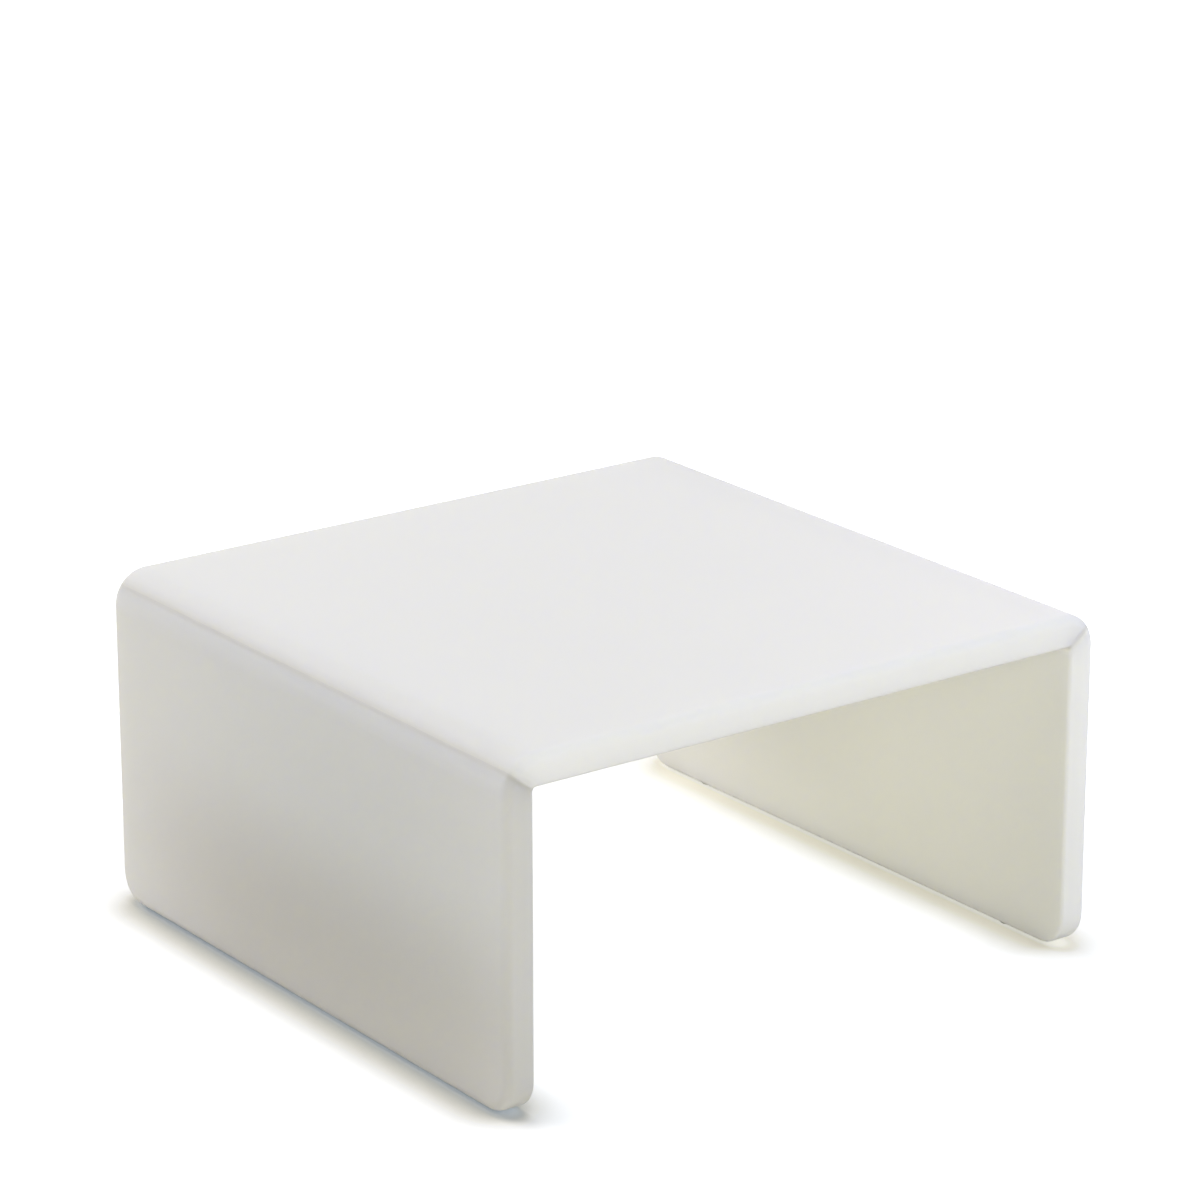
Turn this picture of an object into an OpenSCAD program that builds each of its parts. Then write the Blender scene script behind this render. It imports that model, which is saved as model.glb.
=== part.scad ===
// Buffet display riser: a flat top and two side panels cut from one thick sheet,
// mitred and bonded along the two upper corners, then rounded over on every edge.
// Millimetres. +Z is up and +X runs across the two side panels. The open ends face
// -Y (front) and +Y (rear). The origin is the centre of the base, on the table.

/* [Overall size] */
// Width over the outer faces of the two side panels
riser_w = 305; // [220:1:420]
// Depth from the front edges to the rear edges
riser_d = 292; // [180:1:420]
// Height from the table to the top face
riser_h = 152.5; // [90:0.5:240]

/* [Sheet] */
// Thickness of the sheet that the three panels are cut from
sheet_t = 14; // [12:0.5:20]
// Angle of each mitre above level, where 45 is half-way round the corner
mitre_angle = 37.5; // [35:0.5:50]
// Thickness of the cured adhesive in each mitre
bond_t = 0.3; // [0.2:0.05:0.6]

/* [Rounded edges] */
// Radius on the inside of the two mitred corners
corner_inner_r = 1.5; // [0.5:0.1:6]
// Radius along the outer edges
outer_edge_r = 4.2; // [1:0.1:5]
// Radius along the inner edges
inner_edge_r = 1.6; // [0.5:0.1:2.5]
// Radius of the lower corners of each side panel
lower_corner_r = 14; // [8:0.5:24]

/* [Foot pads] */
// Diameter of a foot pad
pad_d = 7.5; // [5:0.1:8]
// Thickness of a foot pad
pad_t = 2.2; // [1.8:0.1:4]
// Depth of the seat that a pad is let into
pad_seat_depth = 1; // [0.5:0.1:1.2]
// Gap between a pad and the wall of its seat
pad_clearance = 0.1; // [0.05:0.05:0.3]
// Radius round the lower rim of a pad
pad_rim_r = 0.6; // [0.2:0.1:1]
// Distance from the front and rear faces to the centre of a pad
pad_inset = 40; // [30:1:70]

/* [Hidden] */
$fn = 96;

sheet_color = "#e9e8e3";
bond_color = "#d9d8d0";
pad_color = "#c9cccb";

// The bonded corner keeps the sheet's thickness all the way round its bend
corner_outer_r = corner_inner_r + sheet_t;
// Height of the side panels' lower edges, which stand clear of the table on the pads
panel_base_z = pad_t - pad_seat_depth;
// Middle of the flat left between the two roundings of a lower edge
edge_mid = outer_edge_r + (sheet_t - outer_edge_r - inner_edge_r) / 2;
pad_x = riser_w / 2 - edge_mid;
pad_y = riser_d / 2 - pad_inset;
// Longer than the riser in every direction, for the tools that trim the mitres
trim = riser_w + riser_d + riser_h;

// Section across one edge of the sheet. The edge is at x = reach, the outer face
// lies along y = 0 and the inner face along y = sheet_t.
module edge_section(reach) {
    square([reach - outer_edge_r, sheet_t]);
    translate([0, outer_edge_r])
        square([reach, sheet_t - outer_edge_r - inner_edge_r]);
    translate([0, outer_edge_r])
        square([reach - inner_edge_r, sheet_t - outer_edge_r]);
    translate([reach - outer_edge_r, outer_edge_r])
        circle(outer_edge_r);
    translate([reach - inner_edge_r, sheet_t - inner_edge_r])
        circle(inner_edge_r);
}

// Section from the front edge of the riser to its rear edge
module sheet_section() {
    edge_section(riser_d / 2);
    mirror([1, 0])
        edge_section(riser_d / 2);
}

// Carries its children to the axis that the upper left corner bends about
module at_left_corner() {
    translate([corner_outer_r - riser_w / 2, 0, riser_h - corner_outer_r])
        children();
}

// The whole rounded upper left corner, before it is parted at the mitre
module left_corner() {
    at_left_corner()
        mirror([1, 0, 0])
            rotate([90, 0, 0])
                rotate_extrude(angle = 90)
                    translate([corner_outer_r, 0])
                        rotate(90)
                            sheet_section();
}

// A slab square to the left mitre. It fills the side of the corner from low to high,
// measured from the mitre plane towards the top.
module left_mitre_slab(low, high) {
    at_left_corner()
        rotate([0, mitre_angle, 0])
            translate([-trim / 2, -trim / 2, low])
                cube([trim, trim, high - low]);
}

// Straight upright part of the left side panel, from its lower corners to the bend
module left_upright() {
    low = panel_base_z + lower_corner_r;
    translate([-riser_w / 2, 0, low])
        linear_extrude(riser_h - corner_outer_r - low)
            mirror([1, 0])
                rotate(90)
                    sheet_section();
}

// One rounded lower corner of the left side panel, swept about its own axis
module left_lower_corner() {
    translate([-riser_w / 2, riser_d / 2 - lower_corner_r, panel_base_z + lower_corner_r])
        rotate([0, 90, 0])
            rotate_extrude(angle = 90)
                edge_section(lower_corner_r);
}

// Lower edge of the left side panel between its two rounded corners
module left_lower_edge() {
    length = riser_d - 2 * lower_corner_r;
    translate([-riser_w / 2, length / 2, panel_base_z + lower_corner_r])
        rotate([90, 0, 0])
            linear_extrude(length)
                mirror([1, 0])
                    rotate(90)
                        mirror([1, 0])
                            edge_section(lower_corner_r);
}

// Places one child at each pad of the left side panel
module at_left_pads() {
    for (side = [-1, 1])
        translate([-pad_x, side * pad_y, 0])
            children();
}

module left_panel() {
    difference() {
        union() {
            left_corner();
            left_upright();
            left_lower_edge();
            left_lower_corner();
            mirror([0, 1, 0])
                left_lower_corner();
        }
        left_mitre_slab(-bond_t / 2, trim);
        at_left_pads()
            cylinder(d = pad_d + 2 * pad_clearance, h = panel_base_z + pad_seat_depth);
    }
}

module left_bond() {
    intersection() {
        left_corner();
        left_mitre_slab(-bond_t / 2, bond_t / 2);
    }
}

// A pad standing on the table, with its lower rim rounded
module foot_pad() {
    color(pad_color)
        rotate_extrude() {
            square([pad_d / 2 - pad_rim_r, pad_t]);
            translate([0, pad_rim_r])
                square([pad_d / 2, pad_t - pad_rim_r]);
            intersection() {
                square([pad_d / 2, pad_t]);
                translate([pad_d / 2 - pad_rim_r, pad_rim_r])
                    circle(pad_rim_r);
            }
        }
}

module top_panel() {
    flat = riser_w - 2 * corner_outer_r;
    color(sheet_color)
        difference() {
            union() {
                translate([-flat / 2, 0, riser_h])
                    mirror([0, 0, 1])
                        rotate([90, 0, 90])
                            linear_extrude(flat)
                                sheet_section();
                left_corner();
                mirror([1, 0, 0])
                    left_corner();
            }
            left_mitre_slab(-trim, bond_t / 2);
            mirror([1, 0, 0])
                left_mitre_slab(-trim, bond_t / 2);
        }
}

module left_side_panel() {
    color(sheet_color)
        left_panel();
}

module right_side_panel() {
    color(sheet_color)
        mirror([1, 0, 0])
            left_panel();
}

module left_mitre_bond() {
    color(bond_color)
        left_bond();
}

module right_mitre_bond() {
    color(bond_color)
        mirror([1, 0, 0])
            left_bond();
}

module front_left_foot_pad() {
    translate([-pad_x, -pad_y, 0])
        foot_pad();
}

module front_right_foot_pad() {
    translate([pad_x, -pad_y, 0])
        foot_pad();
}

module rear_left_foot_pad() {
    translate([-pad_x, pad_y, 0])
        foot_pad();
}

module rear_right_foot_pad() {
    translate([pad_x, pad_y, 0])
        foot_pad();
}

top_panel();
left_side_panel();
right_side_panel();
left_mitre_bond();
right_mitre_bond();
front_left_foot_pad();
front_right_foot_pad();
rear_left_foot_pad();
rear_right_foot_pad();
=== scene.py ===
import math

import bpy
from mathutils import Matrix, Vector

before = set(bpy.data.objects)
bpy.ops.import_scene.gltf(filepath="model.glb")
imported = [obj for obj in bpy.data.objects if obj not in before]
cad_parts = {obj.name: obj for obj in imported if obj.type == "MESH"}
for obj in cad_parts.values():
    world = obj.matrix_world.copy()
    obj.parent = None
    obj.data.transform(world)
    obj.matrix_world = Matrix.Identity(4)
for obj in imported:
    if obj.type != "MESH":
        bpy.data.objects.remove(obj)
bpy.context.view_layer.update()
bpy.ops.object.select_all(action="DESELECT")
print("frame loaded,", len(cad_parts), "pieces")


class Socket:  # a node's output, so that sums on it can be written as Python sums
    def __init__(self, recipe, output):
        self.recipe = recipe
        self.output = output

    def twin(self, out):  # another output of the same node
        return Socket(self.recipe, self.output.node.outputs[out])

    def maths(self, operation, first, second):
        return self.recipe.node("ShaderNodeMath", {"operation": operation}, {0: first, 1: second})

    def __add__(self, other):
        return self.maths("ADD", self, other)

    def __sub__(self, other):
        return self.maths("SUBTRACT", self, other)

    def __rsub__(self, other):
        return self.maths("SUBTRACT", other, self)

    def __mul__(self, other):
        return self.maths("MULTIPLY", self, other)

    def __abs__(self):
        return self.maths("ABSOLUTE", self, 0.0)

    __radd__ = __add__
    __rmul__ = __mul__


class Recipe:  # the nodes of one material, or of the world
    def __init__(self, owner):
        owner.use_nodes = True
        self.tree = owner.node_tree
        self.tree.nodes.clear()

    def node(self, kind, settings=None, inputs=None, out=0):
        made = self.tree.nodes.new(kind)
        for name, value in (settings or {}).items():
            setattr(made, name, value)
        for name, value in (inputs or {}).items():
            socket = made.inputs[name]
            if isinstance(value, Socket):
                self.tree.links.new(value.output, socket)
            elif socket.type == "RGBA":
                socket.default_value = (*value, 1.0)
            else:
                socket.default_value = value
        return Socket(self, made.outputs[out]) if made.outputs else None

    def mix(self, factor, first, second):  # from the first colour to the second
        return self.node("ShaderNodeMix", {"data_type": "RGBA"}, {0: factor, 6: first, 7: second}, out=2)

    def ramp(self, value, start, end, low=0.0, high=1.0, shape="LINEAR"):  # low at start, high at end
        return self.node("ShaderNodeMapRange", {"interpolation_type": shape},
                         {0: value, 1: start, 2: end, 3: low, 4: high})


def dress(piece, material):
    piece.data.materials.clear()
    piece.data.materials.append(material)


# Opal sheet: satin, cloudy and slightly translucent, warm where light comes through it

sheetLook = {
    "colour": (0.881, 0.882, 0.861),
    "cloudColour": (0.871, 0.872, 0.851),
    "cloudScale": 14.0,
    "cloudDetail": 3.0,
    "roughness": 0.5,
    "wipeMarks": 0.1,
    "wipeScale": 9.0,
    "wipeDetail": 5.0,
    "grainScale": 1800.0,
    "grainDetail": 2.0,
    "grainHeight": 0.00001,
    "waveScale": 22.0,
    "waveDetail": 1.0,
    "waveHeight": 0.00005,
    "ior": 1.49,
    "specular": 0.4,
    "translucency": 0.5,
    "scatter": (1.0, 0.98, 0.65),
    "scatterDepth": 0.02,
    # Painted light: a lighter colour painted within jointReach of the joints
    "jointPaintedLight": (1.0, 0.99, 0.92),
    "jointReach": 0.0035,
}
bondLook = dict(
    sheetLook, colour=(0.93, 0.92, 0.88), cloudColour=(0.91, 0.9, 0.86),
    jointPaintedLight=(0.93, 0.92, 0.88), translucency=0.0)
padLook = dict(
    sheetLook, colour=(0.55, 0.56, 0.56), cloudColour=(0.5, 0.51, 0.51), scatterDepth=0.002)

# The right corner bends about an axis at this x and z, and its joint rises at this angle.
# The left corner mirrors it.
bendAxis = (0.137, 0.137)
jointAngle = math.radians(37.5)


def opalMaterial(name, look):
    material = bpy.data.materials.new(name)
    recipe = Recipe(material)
    place = recipe.node("ShaderNodeTexCoord", out="Object")
    cloud, wipe, grain, wave = [
        recipe.node("ShaderNodeTexNoise", inputs={
            "Vector": place, "Scale": look[kind + "Scale"], "Detail": look[kind + "Detail"]})
        for kind in ("cloud", "wipe", "grain", "wave")]

    # Painted light: the colour is lighter close to the joints, standing in for light that passes from sheet
    # to sheet
    sideways = recipe.node("ShaderNodeSeparateXYZ", inputs={0: place})
    inwards = bendAxis[0] - abs(sideways)
    upwards = sideways.twin("Z") - bendAxis[1]
    offJoint = abs(inwards * math.sin(jointAngle) + upwards * math.cos(jointAngle))
    jointLightMask = recipe.ramp(offJoint, 0.0, look["jointReach"], 1.0, 0.0, "SMOOTHSTEP")
    colour = recipe.mix(cloud, look["colour"], look["cloudColour"])

    height = grain * look["grainHeight"] + wave * look["waveHeight"]
    shader = recipe.node("ShaderNodeBsdfPrincipled", {"subsurface_method": "RANDOM_WALK"}, {
        "Base Color": recipe.mix(jointLightMask, colour, look["jointPaintedLight"]),
        "Roughness": look["roughness"] + (wipe - 0.5) * look["wipeMarks"],
        "Normal": recipe.node("ShaderNodeBump", inputs={"Height": height, "Strength": 1.0, "Distance": 1.0}),
        "IOR": look["ior"],
        "Specular IOR Level": look["specular"],
        "Subsurface Weight": look["translucency"],
        "Subsurface Radius": look["scatter"],
        "Subsurface Scale": look["scatterDepth"],
    })
    recipe.node("ShaderNodeOutputMaterial", inputs={"Surface": shader})
    return material


sheet = opalMaterial("opalSheet", sheetLook)
bond = opalMaterial("curedAdhesive", bondLook)
pad = opalMaterial("clearRubber", padLook)
for name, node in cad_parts.items():
    dress(node, pad if "pad" in name else bond if "bond" in name else sheet)
print("materials on", len(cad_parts), "pieces")


# Floor: plain, pale and warm. The camera sees it white where it is open. Its openness falls from 1 to 0
# within reach of the riser, where the camera-only glow fades out and leaves a contact shadow that is partly
# the lamps' real shadow and partly painted shadow. Painted light in that shadow sets its tone, which runs
# from left to right.

floorLook = {
    "size": 12.0,
    "colour": (0.78, 0.755, 0.68),
    "samples": 16,
    "reach": 0.025,
    "openColour": (0.83, 0.88, 1.0),
    "openStart": 0.61,
    "openGlow": 0.7,
    "farStart": 0.245,
    "farEnd": 0.275,
    "outStart": 0.19,
    "outEnd": 0.22,
    "farGlow": 0.6,
    "sideStart": -0.1,
    "sideEnd": 0.1,
    "leftShade": (0.3, 0.65, 1.0),
    "leftGlow": 0.1,
    "rightShade": (1.0, 1.0, 0.85),
    "rightGlow": 0.46,
    # Painted shade: a darker floor colour where the floor meets the riser
    "contactPaintedShade": (0.6, 0.6, 0.57),
    "contactStart": 0.5,
    "contactEnd": 0.6,
    "creviceStart": 0.15,
    "creviceEnd": 0.5,
    "creviceGlow": 0.17,
}


def floorMaterial(look):
    material = bpy.data.materials.new("paleFloor")
    recipe = Recipe(material)
    seen = recipe.node("ShaderNodeLightPath", out="Is Camera Ray")
    openness = recipe.node("ShaderNodeAmbientOcclusion", {"samples": look["samples"]},
                           {"Distance": look["reach"]}, out="AO")
    place = recipe.node("ShaderNodeTexCoord", out="Object")
    distance = recipe.node("ShaderNodeVectorMath", {"operation": "LENGTH"}, {0: place}, out="Value")
    sideways = recipe.node("ShaderNodeSeparateXYZ", inputs={0: place})

    far = recipe.ramp(distance, look["farStart"], look["farEnd"])
    out = recipe.ramp(abs(sideways), look["outStart"], look["outEnd"])
    rightness = recipe.ramp(sideways, look["sideStart"], look["sideEnd"])
    clearOfPaintedShade = recipe.ramp(openness + rightness, look["contactStart"], look["contactEnd"])
    # Painted shadow: the open floor's camera-only glow fades out near the riser
    openGlow = recipe.ramp(openness + far + out, look["openStart"], 1.0, 0.0, look["openGlow"])
    # Painted light: a camera-only glow lightens the crevice under the panels' lower edges
    crevice = recipe.ramp(openness, look["creviceStart"], look["creviceEnd"], look["creviceGlow"], 0.0)
    shadeGlow = look["leftGlow"] + rightness * (look["rightGlow"] - look["leftGlow"])

    # Painted shade: the floor's colour darkens towards contactPaintedShade close to the left panel's foot
    plain = recipe.node("ShaderNodeBsdfDiffuse", inputs={
        "Color": recipe.mix(clearOfPaintedShade, look["contactPaintedShade"], look["colour"])})
    openLight = recipe.node("ShaderNodeEmission", inputs={
        "Color": look["openColour"],
        "Strength": (openGlow + crevice + (far + out) * look["farGlow"]) * seen})
    # Painted light: a camera-only glow in the shadow near the riser, bluish on the left and warm on the
    # right
    shadeLight = recipe.node("ShaderNodeEmission", inputs={
        "Color": recipe.mix(rightness, look["leftShade"], look["rightShade"]),
        "Strength": shadeGlow * (1.0 - openness) * seen})
    glow = recipe.node("ShaderNodeAddShader", inputs={0: openLight, 1: shadeLight})
    surface = recipe.node("ShaderNodeAddShader", inputs={0: plain, 1: glow})
    recipe.node("ShaderNodeOutputMaterial", inputs={"Surface": surface})
    return material


bpy.ops.mesh.primitive_plane_add(size=floorLook["size"], location=(0, 0, 0))
floor = bpy.context.object
floor.name = "floor"
dress(floor, floorMaterial(floorLook))
print("floor laid")


# Dark card standing beside the left panel, out of the camera's sight

cardLook = {"place": (-0.28, -0.03, 0.05), "size": (0.004, 0.22, 0.1), "colour": (0.03, 0.03, 0.03)}


def addCard(look):
    bpy.ops.mesh.primitive_cube_add(size=1, location=look["place"], scale=look["size"])
    card = bpy.context.object
    card.name = "darkCard"
    bpy.ops.object.transform_apply(location=True, rotation=True, scale=True)
    material = bpy.data.materials.new("darkCard")
    recipe = Recipe(material)
    plain = recipe.node("ShaderNodeBsdfDiffuse", inputs={"Color": look["colour"]})
    recipe.node("ShaderNodeOutputMaterial", inputs={"Surface": plain})
    dress(card, material)
    card.visible_camera = False


addCard(cardLook)
print("card stood up")


# Studio: soft lamps, and a surround that is seen white and gives no light of its own.
# A lamp may be kept off one panel, reach one panel alone, or give no sheen.

surroundLook = {"seenColour": (1.0, 1.0, 1.0), "fillColour": (0.0, 0.0, 0.0)}

lamps = {
    "overhead": {"place": (0.89, 0.0, 1.76), "size": 2.4, "power": 10.1, "tint": (0.847, 0.905, 1.0)},
    "back": {"place": (0.0, 1.83, 0.6), "size": 1.1, "power": 9.76, "tint": (1.0, 0.996, 0.903),
             "sheen": False},
    "rightBack": {"place": (1.58, 0.91, 0.6), "size": 1.1, "power": 3.65, "tint": (1.0, 0.818, 0.826)},
    "leftBack": {"place": (-1.0, 1.0, 1.49), "size": 1.4, "power": 21.2, "tint": (1.0, 0.971, 0.962)},
    "rightLow": {"place": (0.95, -0.55, 0.44), "size": 0.7, "power": 3.97, "tint": (0.818, 0.873, 1.0),
                 "sheen": False},
    "front": {"place": (0.0, -1.83, 0.6), "size": 1.1, "power": 4.21, "tint": (0.818, 0.818, 1.0),
              "sheen": False, "keptOff": "left_side_panel"},
    "frontHigh": {"place": (0.0, -1.41, 1.49), "size": 1.4, "power": 7.12, "tint": (0.952, 0.925, 1.0),
                  "sheen": False, "keptOff": "left_side_panel"},
    "leftFront": {"place": (-0.91, -1.58, 0.6), "size": 1.1, "power": 10.8, "tint": (0.981, 1.0, 0.849),
                  "keptOff": "left_side_panel"},
    "leftWide": {"place": (-1.83, 0.0, 0.6), "size": 1.1, "power": 3.6, "tint": (0.912, 0.917, 1.0),
                 "onlyOn": "left_side_panel"},
    "leftSmall": {"place": (-0.5, 0.0, 0.16), "size": 0.1, "power": 0.134, "tint": (0.904, 1.0, 0.974),
                  "onlyOn": "left_side_panel"},
    "leftHigh": {"place": (-0.2, -0.25, 0.35), "size": 0.15, "power": 0.038, "tint": (1.0, 1.0, 0.818),
                 "onlyOn": "left_side_panel"},
    "leftGrazing": {"place": (-0.22, -0.4, 0.12), "size": 0.18, "power": 0.183, "tint": (1.0, 0.983, 0.935),
                    "onlyOn": "left_side_panel"},
    "underTop": {"place": (-0.1, -0.05, 0.12), "size": 0.08, "power": 0.0823, "tint": (1.0, 0.95, 0.818),
                 "onlyOn": "right_side_panel"},
    "underLow": {"place": (0.0, 0.0, 0.03), "size": 0.06, "power": 0.0139, "tint": (1.0, 1.0, 0.818),
                 "onlyOn": "right_side_panel"},
}
lampTarget = (0.0, 0.0, 0.08)
panelTargets = {"left_side_panel": (-0.1525, 0.0, 0.08), "right_side_panel": (0.1385, 0.0, 0.08)}


def lightWorld(look):
    world = bpy.data.worlds.new("studio")
    bpy.context.scene.world = world
    recipe = Recipe(world)
    seen = recipe.node("ShaderNodeLightPath", out="Is Camera Ray")
    mirrored = seen.twin("Is Glossy Ray")
    through = seen.twin("Is Transmission Ray")
    colour = recipe.mix(seen + mirrored + through, look["fillColour"], look["seenColour"])
    light = recipe.node("ShaderNodeBackground", inputs={"Color": colour, "Strength": 1.0})
    recipe.node("ShaderNodeOutputWorld", inputs={"Surface": light})


def addLamp(name, look):
    place = Vector(look["place"])
    target = Vector(panelTargets.get(look.get("onlyOn"), lampTarget))
    bpy.ops.object.light_add(type="AREA", location=place)
    lamp = bpy.context.object
    lamp.name = name
    lamp.data.shape = "DISK"
    lamp.data.size = look["size"]
    lamp.data.energy = look["power"]
    lamp.data.color = look["tint"]
    lamp.visible_camera = False
    lamp.visible_glossy = look.get("sheen", True)
    lamp.rotation_euler = (target - place).to_track_quat("-Z", "Y").to_euler()
    for key, state in (("keptOff", "EXCLUDE"), ("onlyOn", "INCLUDE")):
        if key in look:
            linked = bpy.data.collections.new(name + "Flag")
            linked.objects.link(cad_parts[look[key]])
            for member in linked.collection_objects:
                member.light_linking.link_state = state
            lamp.light_linking.receiver_collection = linked


lightWorld(surroundLook)
for name, look in lamps.items():
    addLamp(name, look)
print("lamps lit:", len(lamps))


# Camera at the photograph's viewing angle

cameraLook = {
    "aim": (-0.0072, -0.0116, 0.1526),
    "azimuth": -36.567,
    "elevation": 18.567,
    "distance": 1.9612,
    "lens": 139.4,
    "sensor": 36.0,
}

bpy.ops.object.camera_add(rotation=(
    math.radians(90 - cameraLook["elevation"]), 0, math.radians(cameraLook["azimuth"])))
camera = bpy.context.object
backwards = camera.rotation_euler.to_matrix() @ Vector((0, 0, cameraLook["distance"]))
camera.location = Vector(cameraLook["aim"]) + backwards
camera.data.lens = cameraLook["lens"]
camera.data.sensor_width = cameraLook["sensor"]
bpy.context.scene.camera = camera
bpy.context.scene.view_settings.view_transform = "Standard"
print("camera placed")
